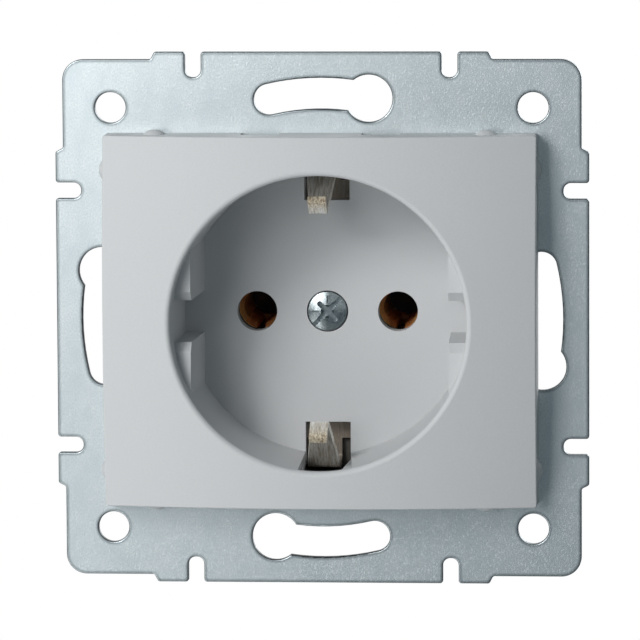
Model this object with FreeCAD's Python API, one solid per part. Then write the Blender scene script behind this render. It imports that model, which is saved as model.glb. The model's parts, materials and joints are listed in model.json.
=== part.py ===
import FreeCAD, Part
import math
import os

# A flush type f wall socket without its outer frame, as it is screwed to a wall box.
# x runs to the right, y into the wall and z up, in millimetres.
# The origin is the middle of the strap's rear face, which lies on the wall.

# Mounting strap
fixing_circle_d = 60.0
strap_beyond_fixing = 5.5
strap_t = 1.0
strap_edge_r = 0.2
flap_setback = 1.0
flap_corner_r = 2.7
flap_from = 22.2
flap_step_run = 0.5
flap_step_r = 0.4
notch_at = 17.05
notch_w = 2.1
notch_depth = 3.4
notch_root_r = 1.0
notch_lip_r = 0.4
corner_hole_inset = 7.4
corner_hole_d = 4.1
slot_w = 4.1
slot_from_deg = -13.3
slot_to_deg = 12.2
keyhole_d = 6.3

# Cover plate: domed face and skirt
cover_w = 57.2
cover_h = 49.2
cover_wall = 1.8
cover_draft_deg = 0.8
cover_corner_r = 0.4
face_r = 138.0
face_edge_r = 0.2
bump_d = 3.2
bump_proud = 0.8
bump_behind_face_edge = 3.0
bump_on_top_at = 22.0
bump_on_side_at = 20.0
skirt_notch_at = 8.0
skirt_notch_w = 5.0
skirt_notch_depth = 3.0

# Cover plate: plug well
mouth_ahead = 8.0
mouth_d = 39.2
well_taper = 0.6
well_depth = 17.5
well_wall = 1.6
floor_t = 2.5
rim_r = 0.6
block_below_mouth = 3.0
block_front_inset = 2.5
block_floor_inset = 3.0
guide_groove_w = 5.6
guide_lead_in = 1.2
pin_spacing = 19.0
pin_hole_d = 5.4
earth_window_w = 6.1
earth_window_reach = 4.6
earth_groove_mouth_w = 4.8
earth_groove_depth = 1.6
earth_flare_left = 2.8
earth_flare_right = 4.4
earth_flare_depth = 0.5
earth_groove_below_mouth = 1.2

# Cover screw
cover_screw_head_d = 5.2
cover_screw_head_h = 1.5
cover_screw_dome_h = 0.45
cover_screw_d = 3.0
cover_screw_length = 8.0
counterbore_gap = 0.2

# Screw recesses, as shares of the head's radius and height
cross_arm = 0.7
cross_half_w = 0.14
cross_core = 0.36
cross_tip = 0.12
cross_depth = 0.75
driver_slot_half_w = 0.11
driver_slot_depth = 0.08
tick_from = 0.42
tick_to = 0.82
tick_half_w = 0.045

# Earth bar, folded from one strip
sheet_t = 0.8
bar_w = 8.0
bar_half_length = 17.5
finger_offset = -0.5
finger_root_w = 4.4
finger_nose_w = 2.4
finger_leg_inset = 0.5
finger_lean_below_mouth = 16.5
finger_nose_reach = 5.5
finger_nose_below_mouth = 9.0
finger_tip_reach = 3.5
finger_tip_below_mouth = 6.0
fold_r = 1.2
fold_outer_r = 0.7
nose_fold_r = 0.9
collar_wall = 0.8
collar_length = 1.6
bar_screw_at = 9.0
bar_screw_d = 2.9
bar_screw_head_d = 4.6
bar_screw_head_h = 0.7
bar_screw_length = 8.0

# Pin contacts and their springs
pin_length = 19.0
pin_tip_room = 0.6
sleeve_bore_d = 4.7
sleeve_mouth_d = 5.6
sleeve_mouth_depth = 1.5
sleeve_slit_w = 1.2
sleeve_slit_root = 1.8
spring_t = 0.5
spring_length = 5.0
spring_gap_w = 2.4
spring_behind_sleeve_mouth = 1.8

# Screw terminals
terminal_inside_bowl = 5.0
terminal_plate_w = 8.0
terminal_front = 19.0
terminal_screw_at = 23.5
terminal_screw_d = 3.5
terminal_head_d = 6.0
terminal_head_h = 2.0
terminal_dome_h = 0.4
terminal_wire_room = 2.6
clamp_t = 1.0
clamp_length = 8.0
wire_hole_d = 3.0
wire_hole_funnel = 0.8
wire_hole_spacing = 4.9
earth_terminal_at = 5.5

# Insulating base, retainer and rivets
retainer_t = 1.8
base_bowl_wall = 1.5
base_wall = 1.9
base_corner_r = 12.0
base_edge_r = 1.2
base_lug_t = 3.0
base_lug_r = 2.9
rivet_outside_bowl = 4.0
rivet_d = 3.0
rivet_head_d = 4.6
rivet_crown_d = 3.2
rivet_head_h = 0.8

# Clearances
seat_gap = 0.1
slide_gap = 0.2
free_gap = 0.4
cut_over = 1.0
plane_tolerance = 1e-6

# Depths that follow, from the front to the back
strap_front = -strap_t
mouth_y = strap_front - mouth_ahead
floor_y = mouth_y + well_depth
floor_back = floor_y + floor_t
bar_front = floor_back + seat_gap
bar_back = bar_front + sheet_t
bar_middle = bar_front + sheet_t / 2
retainer_back = bar_back + retainer_t
sleeve_front = retainer_back + slide_gap
root_front = floor_y + pin_length + pin_tip_room
root_back = root_front + sheet_t
pocket_back = root_back + slide_gap
base_back = pocket_back + base_wall

# Radii and half widths that follow
strap_half = fixing_circle_d / 2 + strap_beyond_fixing
corner_hole_at = strap_half - corner_hole_inset
mouth_r = mouth_d / 2
well_floor_r = mouth_r - well_taper / 2
well_outer_r = mouth_r + well_wall
bowl_r = well_outer_r + free_gap
rivet_at = (bowl_r + rivet_outside_bowl) / math.sqrt(2)
block_front_half = mouth_r - block_front_inset
block_floor_half = mouth_r - block_floor_inset
earth_window_from = mouth_r - earth_window_reach
finger_leg_at = well_outer_r - finger_leg_inset
finger_nose_at = mouth_r - finger_nose_reach
finger_tip_at = mouth_r - finger_tip_reach
terminal_plate_at = bowl_r - terminal_inside_bowl
pin_x = pin_spacing / 2
sleeve_r = sleeve_bore_d / 2 + sheet_t
spring_r = sleeve_r + seat_gap + spring_t
plate_out = terminal_plate_at + sheet_t
clamp_in = plate_out + terminal_wire_room
clamp_out = clamp_in + clamp_t
base_half = max(bowl_r + base_bowl_wall, clamp_out + terminal_head_h + slide_gap)
room_half = terminal_plate_w / 2 + slide_gap
terminal_collar_r = terminal_screw_d / 2 + collar_wall
face_center_y = mouth_y - (face_r - math.sqrt(face_r ** 2 - mouth_r ** 2)) + face_r


def vec(x, y, z):
    return FreeCAD.Vector(x, y, z)


ORIGIN = vec(0, 0, 0)
Y_AXIS = vec(0, 1, 0)


def box(x_range, y_range, z_range):
    low = vec(x_range[0], y_range[0], z_range[0])
    return Part.makeBox(x_range[1] - low.x, y_range[1] - low.y, z_range[1] - low.z, low)


def rod(radius, y_from, y_to, x=0, z=0):
    return Part.makeCylinder(radius, y_to - y_from, vec(x, y_from, z), Y_AXIS)


def rod_x(radius, x_from, x_to, y):
    return Part.makeCylinder(radius, x_to - x_from, vec(x_from, y, 0), vec(1, 0, 0))


def turned(profile):
    """A solid turned about the y axis from corners (radius, y)."""
    points = [vec(r, y, 0) for r, y in profile]
    wire = Part.makePolygon(points + points[:1])
    return Part.Face(wire).revolve(ORIGIN, Y_AXIS, 360)


def prism(corners, direction):
    wire = Part.makePolygon(corners + corners[:1])
    return Part.Face(wire).extrude(direction)


def spun(shape, degrees):
    """A copy turned about the y axis, from x towards -z."""
    return shape.rotated(ORIGIN, Y_AXIS, degrees)


def joined(shapes):
    return shapes[0].multiFuse(shapes[1:]).removeSplitter()


def rounded_path(corners, closed):
    """Edges through corners (point, radius): straight runs with tangent arcs."""
    count = len(corners)
    arcs = []
    for i, (point, radius) in enumerate(corners):
        if radius == 0:
            arcs.append((point, None, point))
            continue
        before = (corners[i - 1][0] - point).normalize()
        after = (corners[(i + 1) % count][0] - point).normalize()
        half_angle = before.getAngle(after) / 2
        reach = radius / math.tan(half_angle)
        inward = (before + after).normalize()
        middle = point + inward * (radius / math.sin(half_angle) - radius)
        arcs.append((point + before * reach, middle, point + after * reach))
    edges = []
    for i, (start, middle, end) in enumerate(arcs):
        if middle is not None:
            edges.append(Part.Arc(start, middle, end).toShape())
        if closed or i < count - 1:
            edges.append(Part.LineSegment(end, arcs[(i + 1) % count][0]).toShape())
    return Part.Wire(edges)


def rounded_rectangle(width, height, radius, y):
    w = width / 2
    h = height / 2
    corners = [vec(-w, y, -h), vec(w, y, -h), vec(w, y, h), vec(-w, y, h)]
    return rounded_path([(corner, radius) for corner in corners], True)


def bent_strip(stations, width, x):
    """Sheet metal of one width, folded along stations (z, y, fold radius) in the yz plane."""
    path = rounded_path([(vec(x, y, z), radius) for z, y, radius in stations], False)
    start = vec(x, stations[0][1], stations[0][0])
    along = (vec(x, stations[1][1], stations[1][0]) - start).normalize()
    across = vec(along.x, -along.z, along.y) * (sheet_t / 2)
    side = vec(width / 2, 0, 0)
    section = [start - side - across, start + side - across, start + side + across, start - side + across]
    return path.makePipeShell([Part.makePolygon(section + section[:1])], True, False)


def strap_outline():
    half = strap_half
    flap = half - flap_setback
    inner = notch_at - notch_w / 2
    outer = notch_at + notch_w / 2
    bottom = half - notch_depth
    right_half = [
        (inner, half, notch_lip_r),
        (inner, bottom, notch_root_r),
        (outer, bottom, notch_root_r),
        (outer, half, notch_lip_r),
        (flap_from, half, flap_step_r),
        (flap_from + flap_step_run, flap, flap_step_r),
    ]
    left_half = [(-x, z, r) for x, z, r in reversed(right_half)]
    top_edge = left_half + right_half + [(flap, flap, flap_corner_r)]
    corners = []
    for turn in range(4):
        around = FreeCAD.Rotation(Y_AXIS, 90 * turn)
        corners += [(around.multVec(vec(x, 0, z)), r) for x, z, r in top_edge]
    return rounded_path(corners, True)


def keyhole_slot():
    """The slot over the top fixing point, along the fixing circle, wide end to the right."""
    y_from = strap_front - cut_over
    y_to = cut_over
    middle_r = fixing_circle_d / 2
    inner = middle_r - slot_w / 2
    outer = middle_r + slot_w / 2
    section = [vec(inner, y_from, 0), vec(outer, y_from, 0), vec(outer, y_to, 0), vec(inner, y_to, 0)]
    face = Part.Face(Part.makePolygon(section + section[:1]))
    arc = spun(face.revolve(ORIGIN, Y_AXIS, slot_to_deg - slot_from_deg), slot_from_deg - 90)
    ends = []
    for angle, diameter in ((slot_from_deg, slot_w), (slot_to_deg, keyhole_d)):
        turn = math.radians(angle)
        place = (middle_r * math.sin(turn), middle_r * math.cos(turn))
        ends.append(rod(diameter / 2, y_from, y_to, *place))
    return joined([arc] + ends)


def make_mounting_strap():
    strap = Part.Face(strap_outline()).extrude(vec(0, -strap_t, 0))
    slot = keyhole_slot()
    cutters = [rod(bowl_r, strap_front - cut_over, cut_over)]
    for turn in range(4):
        hole = rod(corner_hole_d / 2, strap_front - cut_over, cut_over, corner_hole_at, corner_hole_at)
        rivet_hole = rod(rivet_d / 2 + seat_gap, strap_front - cut_over, cut_over, rivet_at, rivet_at)
        cutters += [spun(slot, 90 * turn), spun(hole, 90 * turn), spun(rivet_hole, 90 * turn)]
    strap = strap.cut(Part.makeCompound(cutters))
    front_face = [face for face in strap.Faces if abs(face.CenterOfMass.y - strap_front) < plane_tolerance][0]
    return strap.makeFillet(strap_edge_r, front_face.Edges)


def make_strap_rivets():
    rivet = turned([
        (0, strap_front - rivet_head_h),
        (rivet_crown_d / 2, strap_front - rivet_head_h),
        (rivet_head_d / 2, strap_front),
        (rivet_d / 2, strap_front),
        (rivet_d / 2, base_lug_t),
        (rivet_head_d / 2, base_lug_t),
        (rivet_crown_d / 2, base_lug_t + rivet_head_h),
        (0, base_lug_t + rivet_head_h),
    ])
    rivet.translate(vec(rivet_at, 0, rivet_at))
    return Part.makeCompound([spun(rivet, 90 * turn) for turn in range(4)])


def cover_block(inset):
    """The cover's outside, or the space inside it when inset by the wall."""
    front = mouth_y - 2 * cover_wall
    spread = 2 * math.tan(math.radians(cover_draft_deg)) * (strap_front - front)
    width = cover_w - 2 * inset
    height = cover_h - 2 * inset
    rear = rounded_rectangle(width + spread, height + spread, cover_corner_r, strap_front)
    face = rounded_rectangle(width, height, cover_corner_r, front)
    block = Part.makeLoft([rear, face], True, True)
    dome = Part.makeSphere(face_r - inset, vec(0, face_center_y, 0))
    return block.common(dome)


def snap_bumps():
    """Eight round bumps on the skirt that the outer frame snaps over."""
    radius = (bump_d ** 2 / 4 + bump_proud ** 2) / (2 * bump_proud)
    sink = radius - bump_proud
    edge_drop = math.sqrt(face_r ** 2 - (cover_h / 2) ** 2 - bump_on_top_at ** 2)
    y = face_center_y - edge_drop + bump_behind_face_edge
    places = []
    for sign in (-1, 1):
        for side in (-1, 1):
            places.append(vec(side * bump_on_top_at, y, sign * (cover_h / 2 - sink)))
            places.append(vec(sign * (cover_w / 2 - sink), y, side * bump_on_side_at))
    return [Part.makeSphere(radius, place) for place in places]


def guide_blocks():
    """Two blocks each side of the well, with the guide groove between them."""
    front = mouth_y + block_below_mouth
    back = floor_y + floor_t / 2
    lean = (block_front_half - block_floor_half) / (floor_y - front)
    outer = well_outer_r + cut_over
    corners = [
        vec(block_front_half, front, 0),
        vec(outer, front, 0),
        vec(outer, back, 0),
        vec(block_front_half - lean * (back - front), back, 0),
    ]
    bar = prism(corners, vec(0, 0, well_outer_r))
    slope = [vec(0, front, 0), vec(0, front + guide_lead_in, 0), vec(0, front, guide_lead_in)]
    lead_in = prism(slope, vec(outer, 0, 0))
    bar = bar.cut(lead_in).translated(vec(0, 0, guide_groove_w / 2))
    bar = bar.common(rod(mouth_r + well_wall / 2, front, back))
    lower = bar.mirror(ORIGIN, vec(0, 0, 1))
    pair = [bar, lower]
    return pair + [spun(block, 180) for block in pair]


def earth_groove(mouth_left, mouth_right, depth, y_back):
    """A groove along the top of the well's wall, from its width at the floor to that at the mouth."""
    floor_half = earth_window_w / 2
    front = mouth_y + earth_groove_below_mouth
    corners = [
        vec(-floor_half, y_back, 0),
        vec(-floor_half, floor_y, 0),
        vec(-mouth_left, front, 0),
        vec(mouth_right, front, 0),
        vec(floor_half, floor_y, 0),
        vec(floor_half, y_back, 0),
    ]
    groove = prism(corners, vec(0, 0, mouth_r + depth - earth_window_from))
    return groove.translated(vec(0, 0, earth_window_from))


def earth_windows():
    """Openings for the earth clips: grooves up to the mouth, cut through wall and floor behind the strap."""
    half = earth_groove_mouth_w / 2
    groove = earth_groove(half, half, earth_groove_depth, floor_y)
    flare = earth_groove(earth_flare_left, earth_flare_right, earth_flare_depth, floor_y)
    window = earth_groove(half, half, well_wall + cut_over, floor_back + cut_over)
    behind_strap = box((-cover_w, cover_w), (strap_front, floor_back + cut_over), (0, cover_h))
    top = joined([groove, flare, window.common(behind_strap)])
    return [top, top.mirror(ORIGIN, vec(0, 0, 1))]


def groove_walls():
    """The walls that close the earth grooves in front of the strap, from the well to the skirt."""
    half = earth_window_w / 2 + well_wall
    wall = box((-half, half), (mouth_y + cover_wall / 2, strap_front), (mouth_r, (cover_h - cover_wall) / 2))
    return [wall, wall.mirror(ORIGIN, vec(0, 0, 1))]


def make_cover_plate():
    outside = cover_block(0)
    dome = [face for face in outside.Faces if isinstance(face.Surface, Part.Sphere)][0]
    outside = outside.makeFillet(face_edge_r, dome.Edges)
    skin = joined([outside] + snap_bumps()).cut(cover_block(cover_wall))
    skin = skin.common(box((-cover_w, cover_w), (-face_r, strap_front), (-cover_h, cover_h)))
    cup = rod(well_outer_r, mouth_y + cover_wall / 2, floor_back)
    well = turned([
        (0, mouth_y - 2 * cover_wall),
        (mouth_r, mouth_y - 2 * cover_wall),
        (mouth_r, mouth_y),
        (well_floor_r, floor_y),
        (0, floor_y),
    ])
    cover = joined([skin, cup] + groove_walls()).cut(well)
    rim = [
        edge for edge in cover.Edges
        if edge.BoundBox.YMax < mouth_y + rim_r and abs(edge.BoundBox.XMax - mouth_r) < rim_r / 2
    ]
    cover = cover.makeFillet(rim_r, rim)
    cover = joined([cover] + guide_blocks())
    cutters = earth_windows()
    for side in (-1, 1):
        cutters.append(rod(pin_hole_d / 2, floor_y - cut_over, floor_back + cut_over, side * pin_x))
        relief = rod(bar_screw_head_d / 2 + free_gap, floor_back - bar_screw_head_h, floor_back + cut_over)
        cutters.append(relief.translated(vec(0, 0, side * bar_screw_at)))
        for end in (-1, 1):
            middle = side * skirt_notch_at
            notch = box(
                (middle - skirt_notch_w / 2, middle + skirt_notch_w / 2),
                (strap_front - skirt_notch_depth, strap_front + cut_over),
                (cover_h / 2 - 2 * cover_wall, cover_h / 2 + cover_wall),
            )
            cutters.append(notch if end == 1 else notch.mirror(ORIGIN, vec(0, 0, 1)))
    seat = floor_y + cover_screw_head_h - cover_screw_dome_h
    cutters.append(rod(cover_screw_head_d / 2 + counterbore_gap, floor_y - cut_over, seat))
    cutters.append(rod(cover_screw_d / 2 + slide_gap, floor_y, floor_back + cut_over))
    return cover.cut(Part.makeCompound(cutters))


def screw(head_d, head_h, dome_h, shank_d, length):
    """A screw along +y with its head's seat at y = 0, a cross recess and a slot."""
    head_r = head_d / 2
    shank_r = shank_d / 2
    tip = shank_r / 3
    body = turned([
        (0, -head_h + dome_h),
        (head_r, -head_h + dome_h),
        (head_r, 0),
        (shank_r, 0),
        (shank_r, length - tip),
        (shank_r - tip, length),
        (0, length),
    ])
    dome_r = (head_r ** 2 + dome_h ** 2) / (2 * dome_h)
    dome = Part.makeSphere(dome_r, vec(0, dome_r - head_h, 0))
    dome = dome.common(rod(head_r, -head_h - cut_over, -head_h + dome_h))
    half_w = cross_half_w * head_r
    reach = cross_arm * head_r - half_w
    recess_back = cross_depth * head_h - head_h
    arm = [box((-reach, reach), (-head_h, recess_back), (-half_w, half_w))]
    arm += [rod(half_w, -head_h, recess_back, side * reach) for side in (-1, 1)]
    arm = joined(arm)
    core = turned([
        (0, -head_h),
        (cross_core * head_r, -head_h),
        (cross_tip * head_r, recess_back),
        (0, recess_back),
    ])
    slot_half_w = driver_slot_half_w * head_r
    slot_back = dome_h + driver_slot_depth * head_h - head_h
    slot = box((-head_d, head_d), (-head_h, slot_back), (-slot_half_w, slot_half_w))
    tick_w = tick_half_w * head_r
    tick = box((tick_from * head_r, tick_to * head_r), (-head_h, dome_h - head_h), (-tick_w, tick_w))
    cutters = [core, spun(arm, 45), spun(arm, -45), spun(slot, -45)]
    cutters += [spun(tick, 90 * turn) for turn in range(4)]
    return joined([body, dome]).cut(Part.makeCompound(cutters))


def make_cover_screw():
    head = (cover_screw_head_d, cover_screw_head_h, cover_screw_dome_h)
    shape = screw(*head, cover_screw_d, cover_screw_length)
    return shape.translated(vec(0, floor_y + cover_screw_head_h - cover_screw_dome_h, 0))


def make_bar_screws():
    shape = screw(bar_screw_head_d, bar_screw_head_h, bar_screw_head_h / 2, bar_screw_d, bar_screw_length)
    shape.translate(vec(0, bar_front, 0))
    return Part.makeCompound([shape.translated(vec(0, 0, side * bar_screw_at)) for side in (-1, 1)])


def to_side(shape, side):
    """Takes a terminal piece, made for the right, to the right, left or earth side."""
    if side == "right":
        return shape.copy()
    if side == "left":
        return spun(shape, 180)
    return spun(shape, 90).translated(vec(earth_terminal_at, 0, 0))


def terminal_collar():
    collar_end = terminal_plate_at - collar_length
    collar = rod_x(terminal_collar_r, collar_end, terminal_plate_at, terminal_screw_at)
    bore = rod_x(terminal_screw_d / 2, collar_end - cut_over, plate_out + cut_over, terminal_screw_at)
    return collar, bore


def make_earth_bar():
    half_w = bar_w / 2
    plate = box((-half_w, half_w), (bar_front, bar_back), (-bar_half_length, bar_half_length))
    finger_start = bar_half_length - sheet_t
    finger = bent_strip([
        (finger_start, bar_middle, 0),
        (finger_leg_at, bar_middle, fold_r),
        (finger_leg_at, mouth_y + finger_lean_below_mouth, fold_r),
        (finger_nose_at, mouth_y + finger_nose_below_mouth, nose_fold_r),
        (finger_tip_at, mouth_y + finger_tip_below_mouth, 0),
    ], finger_root_w, finger_offset)
    root = finger_root_w / 2
    nose = finger_nose_w / 2
    right_side = [
        (root, bar_back + cut_over),
        (root, mouth_y + finger_lean_below_mouth),
        (nose, mouth_y + finger_nose_below_mouth),
        (nose, mouth_y),
    ]
    outline = right_side + [(-x, y) for x, y in reversed(right_side)]
    taper = prism([vec(x + finger_offset, y, 0) for x, y in outline], vec(0, 0, 2 * finger_leg_at))
    finger = finger.common(taper)
    tail_at = -terminal_plate_at - sheet_t / 2
    tail = bent_strip([
        (tail_at / 2, bar_middle, 0),
        (tail_at, bar_middle, fold_r),
        (tail_at, root_front, 0),
    ], terminal_plate_w, earth_terminal_at)
    collar, bore = [to_side(shape, "earth") for shape in terminal_collar()]
    screw_collar = rod(cover_screw_d / 2 + collar_wall, bar_front, bar_back + collar_length)
    bar = joined([plate, finger, finger.mirror(ORIGIN, vec(0, 0, 1)), tail, collar, screw_collar])
    front = bar_front - cut_over
    holes = [bore, rod(cover_screw_d / 2, front, bar_back + collar_length + cut_over)]
    for side in (-1, 1):
        holes.append(rod(bar_screw_d / 2 + seat_gap, front, bar_back + cut_over, 0, side * bar_screw_at))
    return bar.cut(Part.makeCompound(holes))


def make_contact():
    """The right contact: split sleeve, rear root and terminal plate, folded from one sheet."""
    bore_r = sleeve_bore_d / 2
    sleeve = turned([
        (sleeve_mouth_d / 2, sleeve_front),
        (sleeve_mouth_d / 2 + sheet_t, sleeve_front),
        (sleeve_r, sleeve_front + sleeve_mouth_depth),
        (sleeve_r, root_back),
        (bore_r, root_back),
        (bore_r, sleeve_front + sleeve_mouth_depth),
    ])
    slit = box(
        (-sleeve_slit_w / 2, sleeve_slit_w / 2),
        (sleeve_front - cut_over, root_front - sleeve_slit_root),
        (-2 * sleeve_r, 2 * sleeve_r),
    )
    sleeve = sleeve.cut(slit).translated(vec(pin_x, 0, 0))
    half_w = terminal_plate_w / 2
    root = box((pin_x - sleeve_r, plate_out), (root_front, root_back), (-half_w, half_w))
    plate = box((terminal_plate_at, plate_out), (terminal_front, root_back), (-half_w, half_w))
    collar, bore = terminal_collar()
    folded = joined([root, plate])
    outer_fold = [
        edge for edge in folded.Edges
        if abs(edge.CenterOfMass.x - plate_out) < plane_tolerance
        and abs(edge.CenterOfMass.y - root_back) < plane_tolerance
    ]
    folded = folded.makeFillet(fold_outer_r, outer_fold)
    pin_bore = rod(bore_r, root_front - cut_over, root_back + cut_over, pin_x)
    return joined([folded, sleeve, collar]).cut(Part.makeCompound([bore, pin_bore]))


def make_contact_spring():
    inner = sleeve_r + seat_gap
    y_from = sleeve_front + spring_behind_sleeve_mouth
    clip = rod(spring_r, y_from, y_from + spring_length).cut(rod(inner, y_from, y_from + spring_length))
    gap = box((-2 * spring_r, 0), (y_from, y_from + spring_length), (-spring_gap_w / 2, spring_gap_w / 2))
    return clip.cut(gap).translated(vec(pin_x, 0, 0))


def make_terminal_clamp():
    half_w = terminal_plate_w / 2
    y_from = terminal_screw_at - clamp_length / 2
    clamp = box((clamp_in, clamp_out), (y_from, y_from + clamp_length), (-half_w, half_w))
    hole_r = terminal_screw_d / 2 + seat_gap
    cutters = [rod_x(hole_r, clamp_in - cut_over, clamp_out + cut_over, terminal_screw_at)]
    seat_r = wire_hole_d / 2
    for side in (-1, 1):
        z = side * wire_hole_spacing / 2
        cutters.append(rod(seat_r, y_from, y_from + clamp_length, clamp_in - seat_r + clamp_t / 2, z))
    return clamp.cut(Part.makeCompound(cutters))


def make_terminal_screw():
    length = clamp_out - terminal_plate_at + collar_length
    shape = screw(terminal_head_d, terminal_head_h, terminal_dome_h, terminal_screw_d, length)
    shape.rotate(ORIGIN, vec(0, 0, 1), 90)
    return shape.translated(vec(clamp_out, terminal_screw_at, 0))


def make_contact_retainer():
    disc = rod(bowl_r - slide_gap, bar_back, retainer_back)
    y_from = bar_back - cut_over
    y_to = retainer_back + cut_over
    cutters = [rod(cover_screw_d / 2 + collar_wall + slide_gap, y_from, y_to)]
    for side in (-1, 1):
        cutters.append(rod(pin_hole_d / 2 + slide_gap, y_from, y_to, side * pin_x))
        cutters.append(rod(bar_screw_d / 2 + seat_gap, y_from, y_to, 0, side * bar_screw_at))
    tail_slot = box(
        (terminal_plate_at - fold_r - slide_gap, plate_out + slide_gap),
        (y_from, y_to),
        (-room_half, room_half),
    )
    cutters.append(to_side(tail_slot, "earth"))
    return disc.cut(Part.makeCompound(cutters))


def terminal_room():
    """The space in the base round one terminal: plate slot, collar room, clamp window and wire holes."""
    collar_room_from = terminal_plate_at - collar_length - free_gap
    across = (-room_half, room_half)
    room = [
        box((terminal_plate_at - slide_gap, plate_out + slide_gap), (retainer_back, pocket_back), across),
        rod_x(terminal_collar_r + slide_gap, collar_room_from, plate_out, terminal_screw_at),
        box((plate_out, base_half + cut_over), (terminal_front - cut_over, pocket_back), across),
    ]
    hole_r = wire_hole_d / 2
    funnel = turned([
        (0, pocket_back - cut_over),
        (hole_r, pocket_back - cut_over),
        (hole_r, base_back - wire_hole_funnel),
        (hole_r + wire_hole_funnel, base_back),
        (0, base_back),
    ])
    for side in (-1, 1):
        middle = (plate_out + clamp_in) / 2
        room.append(funnel.translated(vec(middle, 0, side * wire_hole_spacing / 2)))
    return joined(room)


def make_socket_base():
    side = 2 * base_half
    block = Part.Face(rounded_rectangle(side, side, base_corner_r, 0)).extrude(vec(0, base_back, 0))
    rear_face = max(block.Faces, key=lambda face: face.CenterOfMass.y)
    block = block.makeFillet(base_edge_r, rear_face.Edges)
    lugs = []
    for turn in range(4):
        eye = rod(base_lug_r, 0, base_lug_t, rivet_at, rivet_at)
        half = base_lug_r
        web = box((0, rivet_at * math.sqrt(2)), (0, base_lug_t), (-half, half))
        lugs += [spun(eye, 90 * turn), spun(web, 45 + 90 * turn)]
    bowl = rod(bowl_r, -cut_over, retainer_back)
    base = joined([block] + lugs)
    contact_pocket = box(
        (pin_x - spring_r - free_gap, terminal_plate_at),
        (retainer_back, pocket_back),
        (-room_half, room_half),
    )
    cutters = [bowl]
    for name in ("right", "left", "earth"):
        cutters.append(to_side(terminal_room(), name))
        if name != "earth":
            cutters.append(to_side(contact_pocket, name))
    screw_end = floor_y + cover_screw_head_h + cover_screw_length
    cutters.append(rod(cover_screw_d / 2 + collar_wall + slide_gap, retainer_back, screw_end))
    for turn in range(4):
        hole = rod(rivet_d / 2 + seat_gap, -cut_over, base_lug_t + cut_over, rivet_at, rivet_at)
        tail_room = rod(rivet_head_d / 2 + free_gap, base_lug_t, base_back + cut_over, rivet_at, rivet_at)
        cutters += [spun(hole, 90 * turn), spun(tail_room, 90 * turn)]
    bar_screw_end = bar_front + bar_screw_length
    for end in (-1, 1):
        cutters.append(rod(bar_screw_d / 2, retainer_back, bar_screw_end, 0, end * bar_screw_at))
    return base.cut(Part.makeCompound(cutters))


def main():
    pieces = {
        "mounting_strap": make_mounting_strap(),
        "strap_rivets": make_strap_rivets(),
        "cover_plate": make_cover_plate(),
        "cover_screw": make_cover_screw(),
        "earth_bar": make_earth_bar(),
        "bar_screws": make_bar_screws(),
        "contact_retainer": make_contact_retainer(),
        "socket_base": make_socket_base(),
    }
    for side in ("left", "right"):
        pieces[side + "_contact"] = to_side(make_contact(), side)
        pieces[side + "_contact_spring"] = to_side(make_contact_spring(), side)
    for side in ("left", "right", "earth"):
        pieces[side + "_terminal_clamp"] = to_side(make_terminal_clamp(), side)
        pieces[side + "_terminal_screw"] = to_side(make_terminal_screw(), side)
    os.makedirs("parts", exist_ok=True)
    for name, shape in pieces.items():
        shape.exportStep("parts/" + name + ".step")
        print(name, len(shape.Solids), "solids", round(shape.Volume, 2), "mm3", shape.isValid())


main()
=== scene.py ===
import json
import math

import bpy
from mathutils import Matrix, Vector

# A flush type f wall socket, seen from the front, a little from the right and from above.
# Metres, in the frame of the solids: x to the right, y into the wall, z up.
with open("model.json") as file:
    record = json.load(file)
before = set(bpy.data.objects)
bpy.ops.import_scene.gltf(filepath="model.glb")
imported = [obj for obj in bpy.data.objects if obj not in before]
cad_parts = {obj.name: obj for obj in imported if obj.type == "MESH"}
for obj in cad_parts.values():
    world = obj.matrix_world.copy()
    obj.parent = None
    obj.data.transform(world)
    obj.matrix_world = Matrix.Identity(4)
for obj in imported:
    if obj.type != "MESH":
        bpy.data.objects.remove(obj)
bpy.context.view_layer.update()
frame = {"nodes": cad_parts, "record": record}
nodes = frame["nodes"]
scene = bpy.context.scene
scene.view_settings.view_transform = "Standard"

MM_PER_M = 1000.0

# Camera, fitted to the photograph
IMAGE_SIDE_PX = 640
FOCAL_PX = 5587
SENSOR_MM = 36.0
CAMERA_AT = Vector((0.05769, -0.73774, 0.07842))
PAN_DEG = -4.499
TILT_DEG = -6.072
ROLL_DEG = 0.301

# Soft boxes, each with its place, its width and height, and its watts:
# a key and a tall one at the left, a small one below, a fill at the right, and one behind
LAMPS = {
    "key": (Vector((-0.182, -0.248, 0.175)), (0.10, 0.12), 0.61),
    "soft": (Vector((-0.185, -0.420, 0.155)), (0.17, 0.36), 0.78),
    "low": (Vector((-0.120, -0.115, -0.135)), (0.16, 0.16), 0.17),
    "fill": (Vector((0.20, -0.50, 0.12)), (0.30, 0.30), 0.10),
    "back": (Vector((0.35, 0.45, 0.25)), (0.50, 0.50), 4.0),
}
LAMP_TINT = (1.0, 0.996, 0.990)
ROOM = (0.096, 0.126, 0.141, 1.0)
WHITE = (1.0, 1.0, 1.0, 1.0)

# Floor and white backdrop, both well away from the part
FLOOR_Z = -0.75
FLOOR_HALF = 3.0
FLOOR_COLOUR = (0.82, 0.82, 0.82, 1.0)
BACKDROP_Y = 1.2
BACKDROP_HALF = 0.8

# A Mix node's two colour inputs and its colour output
MIX_FIRST = 6
MIX_SECOND = 7
MIX_RESULT = 2

# The range in which most of a noise texture lies
NOISE_LOW = 0.3
NOISE_HIGH = 0.7

# Plated strap
STRAP_DULL = (0.58, 0.65, 0.68)
STRAP_BRIGHT = (0.83, 0.88, 0.895)
STRAP_CLOUD = (0.60, 0.675, 0.705)
# Painted shade: the dark tone along the strap's outside edges
STRAP_EDGE_SHADE = (0.20, 0.235, 0.25)
# Painted shade on the faces that turn away from the front: the sides and rounded edges
STRAP_SIDE_SHADE = (0.17, 0.195, 0.21)
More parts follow.
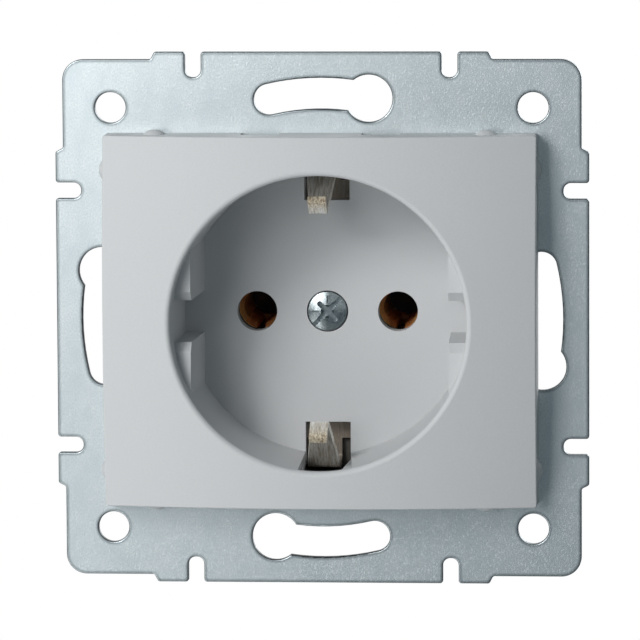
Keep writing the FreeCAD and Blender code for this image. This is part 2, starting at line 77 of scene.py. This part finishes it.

# The strap's painted dark outline, shade along its rounded edges: its width and darkness, and the
# occlusion away from an edge and on it
EDGE_SHADE_MM = 0.55
EDGE_SHADE_DARK = 0.78
EDGE_SAMPLES = 8
OFF_EDGE = 0.99
ON_EDGE = 0.74

# Cover
COVER_DULL = (0.532, 0.541, 0.549)
COVER_BRIGHT = (0.572, 0.581, 0.589)
COVER_TINT = (0.546, 0.555, 0.563)

# Screws, rivets and springs
STEEL_DULL = (0.28, 0.325, 0.34)
STEEL_BRIGHT = (0.54, 0.59, 0.605)
STEEL_STAIN = (0.24, 0.285, 0.30)

# Earth strip: its tones, and the depths between which it is worn bare and darkens to a painted brown
# shade
TIN_DULL = (0.56, 0.50, 0.41)
TIN_BRIGHT = (1.0, 0.97, 0.91)
BARE_DULL = (0.30, 0.19, 0.09)
BARE_BRIGHT = (1.0, 0.87, 0.64)
# Painted shade: dark brown for the strip deep inside the base
DEEP_BROWN_SHADE = (0.16, 0.125, 0.095)
BARE_FROM_Y = -0.0012
BARE_FULL_Y = -0.0030
DEEP_SHADE_FROM_Y = 0.006
DEEP_SHADE_FULL_Y = 0.010

# Brass, drawn along the depth: the grain of its streaks and stains
DRAWN_MM = (0.15, 2.5, 0.15)
STAIN_MM = (1.1, 1.6, 1.1)

# Sleeves: their tones, half the pins' spacing, and how far off a pin's axis a sleeve is worn bright,
# wear with a painted highlight on it
SLEEVE_BROWN = (0.88, 0.37, 0.125)
SLEEVE_STAIN = (0.60, 0.22, 0.075)
# Worn tones, lightened further into a painted highlight
RUBBED_HIGHLIGHT_DULL = (1.0, 0.44, 0.14)
RUBBED_HIGHLIGHT_BRIGHT = (1.0, 0.62, 0.26)
PIN_X = 0.0095
RUBBED_HIGHLIGHT_FROM = 0.0013
RUBBED_HIGHLIGHT_FULL = 0.0019

# Pressure plates
PLATE_DULL = (0.50, 0.36, 0.15)
PLATE_BRIGHT = (0.68, 0.52, 0.25)
PLATE_STAIN = (0.38, 0.26, 0.12)

# Base and retainer
BASE_DARK = (0.064, 0.058, 0.050)
BASE_PALE = (0.082, 0.074, 0.065)
BASE_SKIN = (0.105, 0.096, 0.086)


def point_camera():
    """The photograph's camera, from its pan, tilt and roll."""
    camera = bpy.data.objects.new("camera", bpy.data.cameras.new("camera"))
    scene.collection.objects.link(camera)
    pan = math.radians(PAN_DEG)
    tilt = math.radians(TILT_DEG)
    roll = math.radians(ROLL_DEG)
    forward = Vector((math.sin(pan) * math.cos(tilt), math.cos(pan) * math.cos(tilt), math.sin(tilt)))
    level_right = forward.cross(Vector((0, 0, 1))).normalized()
    level_down = forward.cross(level_right)
    right = level_right * math.cos(roll) + level_down * math.sin(roll)
    down = level_down * math.cos(roll) - level_right * math.sin(roll)
    turn = Matrix((right, -down, -forward)).transposed().to_4x4()
    camera.matrix_world = Matrix.Translation(CAMERA_AT) @ turn
    camera.data.sensor_width = SENSOR_MM
    camera.data.lens = SENSOR_MM * FOCAL_PX / IMAGE_SIDE_PX
    scene.camera = camera


def area_light(name, place, size, watts):
    """A soft box, size its width and height, that faces the middle of the part."""
    data = bpy.data.lights.new(name, "AREA")
    data.shape = "RECTANGLE"
    data.size = size[0]
    data.size_y = size[1]
    data.energy = watts
    data.color = LAMP_TINT
    light = bpy.data.objects.new(name, data)
    light.location = place
    light.rotation_mode = "QUATERNION"
    light.rotation_quaternion = (-place).to_track_quat("-Z", "Y")
    light.visible_camera = False
    scene.collection.objects.link(light)


def input_label(keyword):
    """A shader input's label: specular_ior_level gives Specular IOR Level."""
    return keyword.replace("_", " ").title().replace("Ior", "IOR")


def add_node(tree, kind, **values):
    """A shader node; values set its inputs or, where it has no such input, its properties."""
    node = tree.nodes.new(kind)
    for name, value in values.items():
        label = input_label(name)
        if label in node.inputs:
            node.inputs[label].default_value = value
        else:
            setattr(node, name, value)
    return node


def seen_directly(tree):
    """1 for rays from the camera, from mirrors and through glass, and 0 for light that bounces."""
    path = add_node(tree, "ShaderNodeLightPath")
    total = path.outputs["Is Camera Ray"]
    for name in ("Is Glossy Ray", "Is Transmission Ray"):
        both = add_node(tree, "ShaderNodeMath", operation="MAXIMUM")
        tree.links.new(total, both.inputs[0])
        tree.links.new(path.outputs[name], both.inputs[1])
        total = both.outputs[0]
    return total


def dim_room():
    """Even blue-grey light from all round."""
    world = bpy.data.worlds.new("room")
    scene.world = world
    world.use_nodes = True
    world.node_tree.nodes["Background"].inputs["Color"].default_value = ROOM


def sheet(name, corners_at):
    """A flat sheet of the set, with only an output in its material's tree."""
    mesh = bpy.data.meshes.new(name)
    mesh.from_pydata(corners_at, [], [(0, 1, 2, 3)])
    piece = bpy.data.objects.new(name, mesh)
    scene.collection.objects.link(piece)
    material = bpy.data.materials.new(name)
    material.use_nodes = True
    mesh.materials.append(material)
    tree = material.node_tree
    tree.nodes.clear()
    return tree, add_node(tree, "ShaderNodeOutputMaterial")


def pale_floor():
    """A plain matt floor below the part."""
    h = FLOOR_HALF
    z = FLOOR_Z
    tree, output = sheet("floor", [(-h, -h, z), (h, -h, z), (h, h, z), (-h, h, z)])
    paper = add_node(tree, "ShaderNodeBsdfDiffuse", color=FLOOR_COLOUR)
    tree.links.new(paper.outputs[0], output.inputs["Surface"])


def white_backdrop():
    """A sheet behind the part: white where it is seen, and matt for light that bounces."""
    h = BACKDROP_HALF
    y = BACKDROP_Y
    tree, output = sheet("backdrop", [(-h, y, FLOOR_Z), (h, y, FLOOR_Z), (h, y, h), (-h, y, h)])
    paper = add_node(tree, "ShaderNodeBsdfDiffuse", color=FLOOR_COLOUR)
    white = add_node(tree, "ShaderNodeEmission", color=WHITE, strength=1.0)
    mix = add_node(tree, "ShaderNodeMixShader")
    tree.links.new(seen_directly(tree), mix.inputs[0])
    tree.links.new(paper.outputs[0], mix.inputs[1])
    tree.links.new(white.outputs[0], mix.inputs[2])
    tree.links.new(mix.outputs[0], output.inputs["Surface"])


class Look:
    """A material with a Principled shader and textures in object coordinates."""

    def __init__(self, name, **values):
        self.material = bpy.data.materials.new(name)
        self.material.use_nodes = True
        self.tree = self.material.node_tree
        self.shader = self.tree.nodes["Principled BSDF"]
        for keyword, value in values.items():
            self.shader.inputs[input_label(keyword)].default_value = value
        coordinates = add_node(self.tree, "ShaderNodeTexCoord")
        self.place = coordinates.outputs["Object"]
        self.normal = coordinates.outputs["Normal"]

    def noise(self, grain_mm, detail=3.0, roughness=0.55):
        """Noise whose grains are grain_mm long along x, y and z."""
        stretch = add_node(self.tree, "ShaderNodeMapping")
        stretch.inputs["Scale"].default_value = [MM_PER_M / length for length in grain_mm]
        texture = add_node(self.tree, "ShaderNodeTexNoise",
                           scale=1.0, detail=detail, roughness=roughness)
        self.tree.links.new(self.place, stretch.inputs["Vector"])
        self.tree.links.new(stretch.outputs[0], texture.inputs["Vector"])
        return texture.outputs["Fac"]

    def spread(self, value, low=NOISE_LOW, high=NOISE_HIGH, to_low=0.0, to_high=1.0):
        """value between low and high, taken to the range to_low to to_high."""
        mapped = add_node(self.tree, "ShaderNodeMapRange",
                          from_min=low, from_max=high, to_min=to_low, to_max=to_high)
        self.tree.links.new(value, mapped.inputs["Value"])
        return mapped.outputs["Result"]

    def combined(self, operation, first, second):
        """The result of a Math node on two values, each a number or a node's output."""
        node = add_node(self.tree, "ShaderNodeMath", operation=operation)
        for value, socket in ((first, node.inputs[0]), (second, node.inputs[1])):
            if isinstance(value, (int, float)):
                socket.default_value = value
            else:
                self.tree.links.new(value, socket)
        return node.outputs[0]

    def absolute(self, value):
        """value without its sign."""
        node = add_node(self.tree, "ShaderNodeMath", operation="ABSOLUTE")
        self.tree.links.new(value, node.inputs[0])
        return node.outputs[0]

    def mixed(self, share, first, second):
        """A colour between first, at share 0, and second, each a colour or another mix."""
        node = add_node(self.tree, "ShaderNodeMix", data_type="RGBA")
        self.tree.links.new(share, node.inputs["Factor"])
        for value, socket in ((first, node.inputs[MIX_FIRST]), (second, node.inputs[MIX_SECOND])):
            if isinstance(value, tuple):
                socket.default_value = (*value, 1.0)
            else:
                self.tree.links.new(value, socket)
        return node.outputs[MIX_RESULT]

    def component(self, vector, name):
        """The X, Y or Z of a vector."""
        parts = add_node(self.tree, "ShaderNodeSeparateXYZ")
        self.tree.links.new(vector, parts.inputs[0])
        return parts.outputs[name]

    def axis(self, name):
        """A point's own x, y or z in metres."""
        return self.component(self.place, name)

    def facing(self, name):
        """How far the surface faces along x, y or z, either way, from 0 to 1."""
        return self.absolute(self.component(self.normal, name))

    def near_edge(self, width_mm):
        """1 at the piece's outside edges, falling to 0 within width_mm of them."""
        inward = add_node(self.tree, "ShaderNodeAmbientOcclusion", inside=True, only_local=True,
                          samples=EDGE_SAMPLES, distance=width_mm / MM_PER_M)
        return self.spread(inward.outputs["AO"], OFF_EDGE, ON_EDGE)

    def put(self, label, value):
        """Feeds one of the shader's inputs."""
        self.tree.links.new(value, self.shader.inputs[label])

    def bump(self, height, height_mm):
        """Relief of height_mm."""
        node = add_node(self.tree, "ShaderNodeBump", strength=1.0, distance=height_mm / MM_PER_M)
        self.tree.links.new(height, node.inputs["Height"])
        self.put("Normal", node.outputs[0])


def zinc_sheet():
    """Plated strap: fine speckle, upright flecks, soft clouds, and painted shade along its edges and
    on its side faces.
    """
    look = Look("zinc_sheet", metallic=1.0)
    speckle = look.noise((0.20, 0.20, 0.28), roughness=0.65)
    flecks = look.spread(look.noise((0.19, 0.19, 0.42), detail=2.0), 0.53, 0.76)
    clouds = look.noise((2.2, 2.2, 4.0), detail=4.0, roughness=0.6)
    tone = look.mixed(look.spread(speckle), STRAP_DULL, STRAP_BRIGHT)
    tone = look.mixed(look.spread(clouds, 0.38, 0.64, to_high=0.5), tone, STRAP_CLOUD)
    # Painted shade along the outside edges, masked by occlusion inside the piece
    edge_shade = look.combined("MULTIPLY", look.near_edge(EDGE_SHADE_MM), EDGE_SHADE_DARK)
    tone = look.mixed(edge_shade, tone, STRAP_EDGE_SHADE)
    # Painted shade where a face turns away from the front
    side_shade = look.spread(look.facing("Y"), 0.97, 0.6)
    look.put("Base Color", look.mixed(side_shade, tone, STRAP_SIDE_SHADE))
    rough = look.spread(speckle, to_low=0.44, to_high=0.37)
    look.put("Roughness", look.combined("ADD", rough, look.combined("MULTIPLY", flecks, 0.11)))
    look.bump(look.combined("ADD", speckle, look.combined("MULTIPLY", flecks, 0.65)), 0.0078)
    return look.material


def satin_cover():
    """Silver-grey moulding with a fine spark-eroded skin."""
    look = Look("satin_cover", specular_ior_level=0.25)
    skin = look.noise((0.16, 0.16, 0.16), detail=2.0)
    tint = look.noise((14.0, 14.0, 14.0), detail=2.0)
    tone = look.mixed(look.spread(skin), COVER_DULL, COVER_BRIGHT)
    tone = look.mixed(look.spread(tint, 0.35, 0.65, to_high=0.5), tone, COVER_TINT)
    look.put("Base Color", tone)
    look.put("Roughness", look.spread(skin, 0.25, 0.75, 0.48, 0.60))
    look.bump(skin, 0.003)
    return look.material


def bright_zinc():
    """Plated screws, rivets and springs with fine turned lines."""
    look = Look("bright_zinc", metallic=1.0)
    lines = look.noise((0.5, 0.07, 0.5))
    stain = look.noise((1.4, 1.4, 1.4))
    tone = look.mixed(look.spread(lines), STEEL_DULL, STEEL_BRIGHT)
    tone = look.mixed(look.spread(stain, 0.5, 0.75, to_high=0.5), tone, STEEL_STAIN)
    look.put("Base Color", tone)
    look.put("Roughness", look.spread(stain, to_low=0.23, to_high=0.34))
    look.bump(lines, 0.008)
    return look.material


def tinned_clip():
    """Tin-plated earth strip with drawn streaks, rough and bare near the mouth, and a painted dark
    brown shade at depth.
    """
    look = Look("tinned_clip", metallic=0.35)
    streaks = look.noise((0.20, 2.5, 2.5))
    cut = look.noise((0.22, 0.45, 0.45))
    depth = look.axis("Y")
    tin = look.mixed(look.spread(streaks, 0.36, 0.62), TIN_DULL, TIN_BRIGHT)
    brass = look.mixed(look.spread(cut, 0.36, 0.6), BARE_DULL, BARE_BRIGHT)
    bare = look.spread(depth, BARE_FROM_Y, BARE_FULL_Y, to_high=0.85)
    # Painted shade, darker brown the deeper the strip lies
    deep_shade = look.spread(depth, DEEP_SHADE_FROM_Y, DEEP_SHADE_FULL_Y, to_high=0.85)
    look.put("Base Color", look.mixed(deep_shade, look.mixed(bare, tin, brass), DEEP_BROWN_SHADE))
    look.put("Roughness", look.spread(streaks, to_low=0.42, to_high=0.24))
    look.bump(look.combined("ADD", streaks, look.combined("MULTIPLY", cut, bare)), 0.020)
    return look.material


def copper_brass():
    """Stained sleeves of red brass, worn bright along the two sides that grip a pin: wear and a
    painted highlight.
    """
    look = Look("copper_brass", metallic=0.20)
    streaks = look.noise(DRAWN_MM)
    stain = look.noise(STAIN_MM, detail=4.0)
    brown = look.mixed(look.spread(stain, 0.35, 0.65), SLEEVE_BROWN, SLEEVE_STAIN)
    # Wear where a pin grips, with a painted highlight: the bright tone along the two sides of each
    # sleeve
    bright = look.mixed(look.spread(streaks), RUBBED_HIGHLIGHT_DULL, RUBBED_HIGHLIGHT_BRIGHT)
    sideways = look.absolute(look.axis("X"))
    off_axis = look.absolute(look.combined("SUBTRACT", sideways, PIN_X))
    rubbed_highlight = look.spread(off_axis, RUBBED_HIGHLIGHT_FROM, RUBBED_HIGHLIGHT_FULL)
    look.put("Base Color", look.mixed(rubbed_highlight, brown, bright))
    look.put("Roughness", look.spread(rubbed_highlight, 0.0, 1.0, 0.42, 0.22))
    look.bump(streaks, 0.002)
    return look.material


def yellow_brass():
    """Pressure plates of bare sheet brass, drawn along the depth and stained."""
    look = Look("yellow_brass", metallic=0.85)
    streaks = look.noise(DRAWN_MM)
    stain = look.noise(STAIN_MM, detail=4.0)
    tone = look.mixed(look.spread(streaks), PLATE_DULL, PLATE_BRIGHT)
    tone = look.mixed(look.spread(stain, 0.45, 0.75, to_high=0.7), tone, PLATE_STAIN)
    look.put("Base Color", tone)
    look.put("Roughness", look.spread(stain, to_low=0.22, to_high=0.42))
    look.bump(streaks, 0.002)
    return look.material


def dark_moulding():
    """Dark brown-grey insulating base and retainer, with flow marks."""
    look = Look("dark_moulding")
    skin = look.noise((0.3, 0.3, 0.3))
    flow = look.noise((6.0, 18.0, 6.0), detail=2.0)
    tone = look.mixed(look.spread(flow), BASE_DARK, BASE_PALE)
    tone = look.mixed(look.spread(skin, 0.55, 0.75, to_high=0.4), tone, BASE_SKIN)
    look.put("Base Color", tone)
    look.put("Roughness", look.spread(skin, to_low=0.42, to_high=0.58))
    look.bump(skin, 0.006)
    return look.material


def dress(looks):
    """Gives each solid the look of its material slot."""
    for part in frame["record"]["subparts"]:
        node = nodes[part["node"]]
        node.data.materials.clear()
        node.data.materials.append(looks[part["material_slot"]])


point_camera()
dim_room()
for lamp, (place, size, watts) in LAMPS.items():
    area_light(lamp, place, size, watts)
pale_floor()
white_backdrop()
dress({
    "strap": zinc_sheet(),
    "cover": satin_cover(),
    "steel": bright_zinc(),
    "earth": tinned_clip(),
    "base": dark_moulding(),
    "contact": copper_brass(),
    "clamp": yellow_brass(),
})
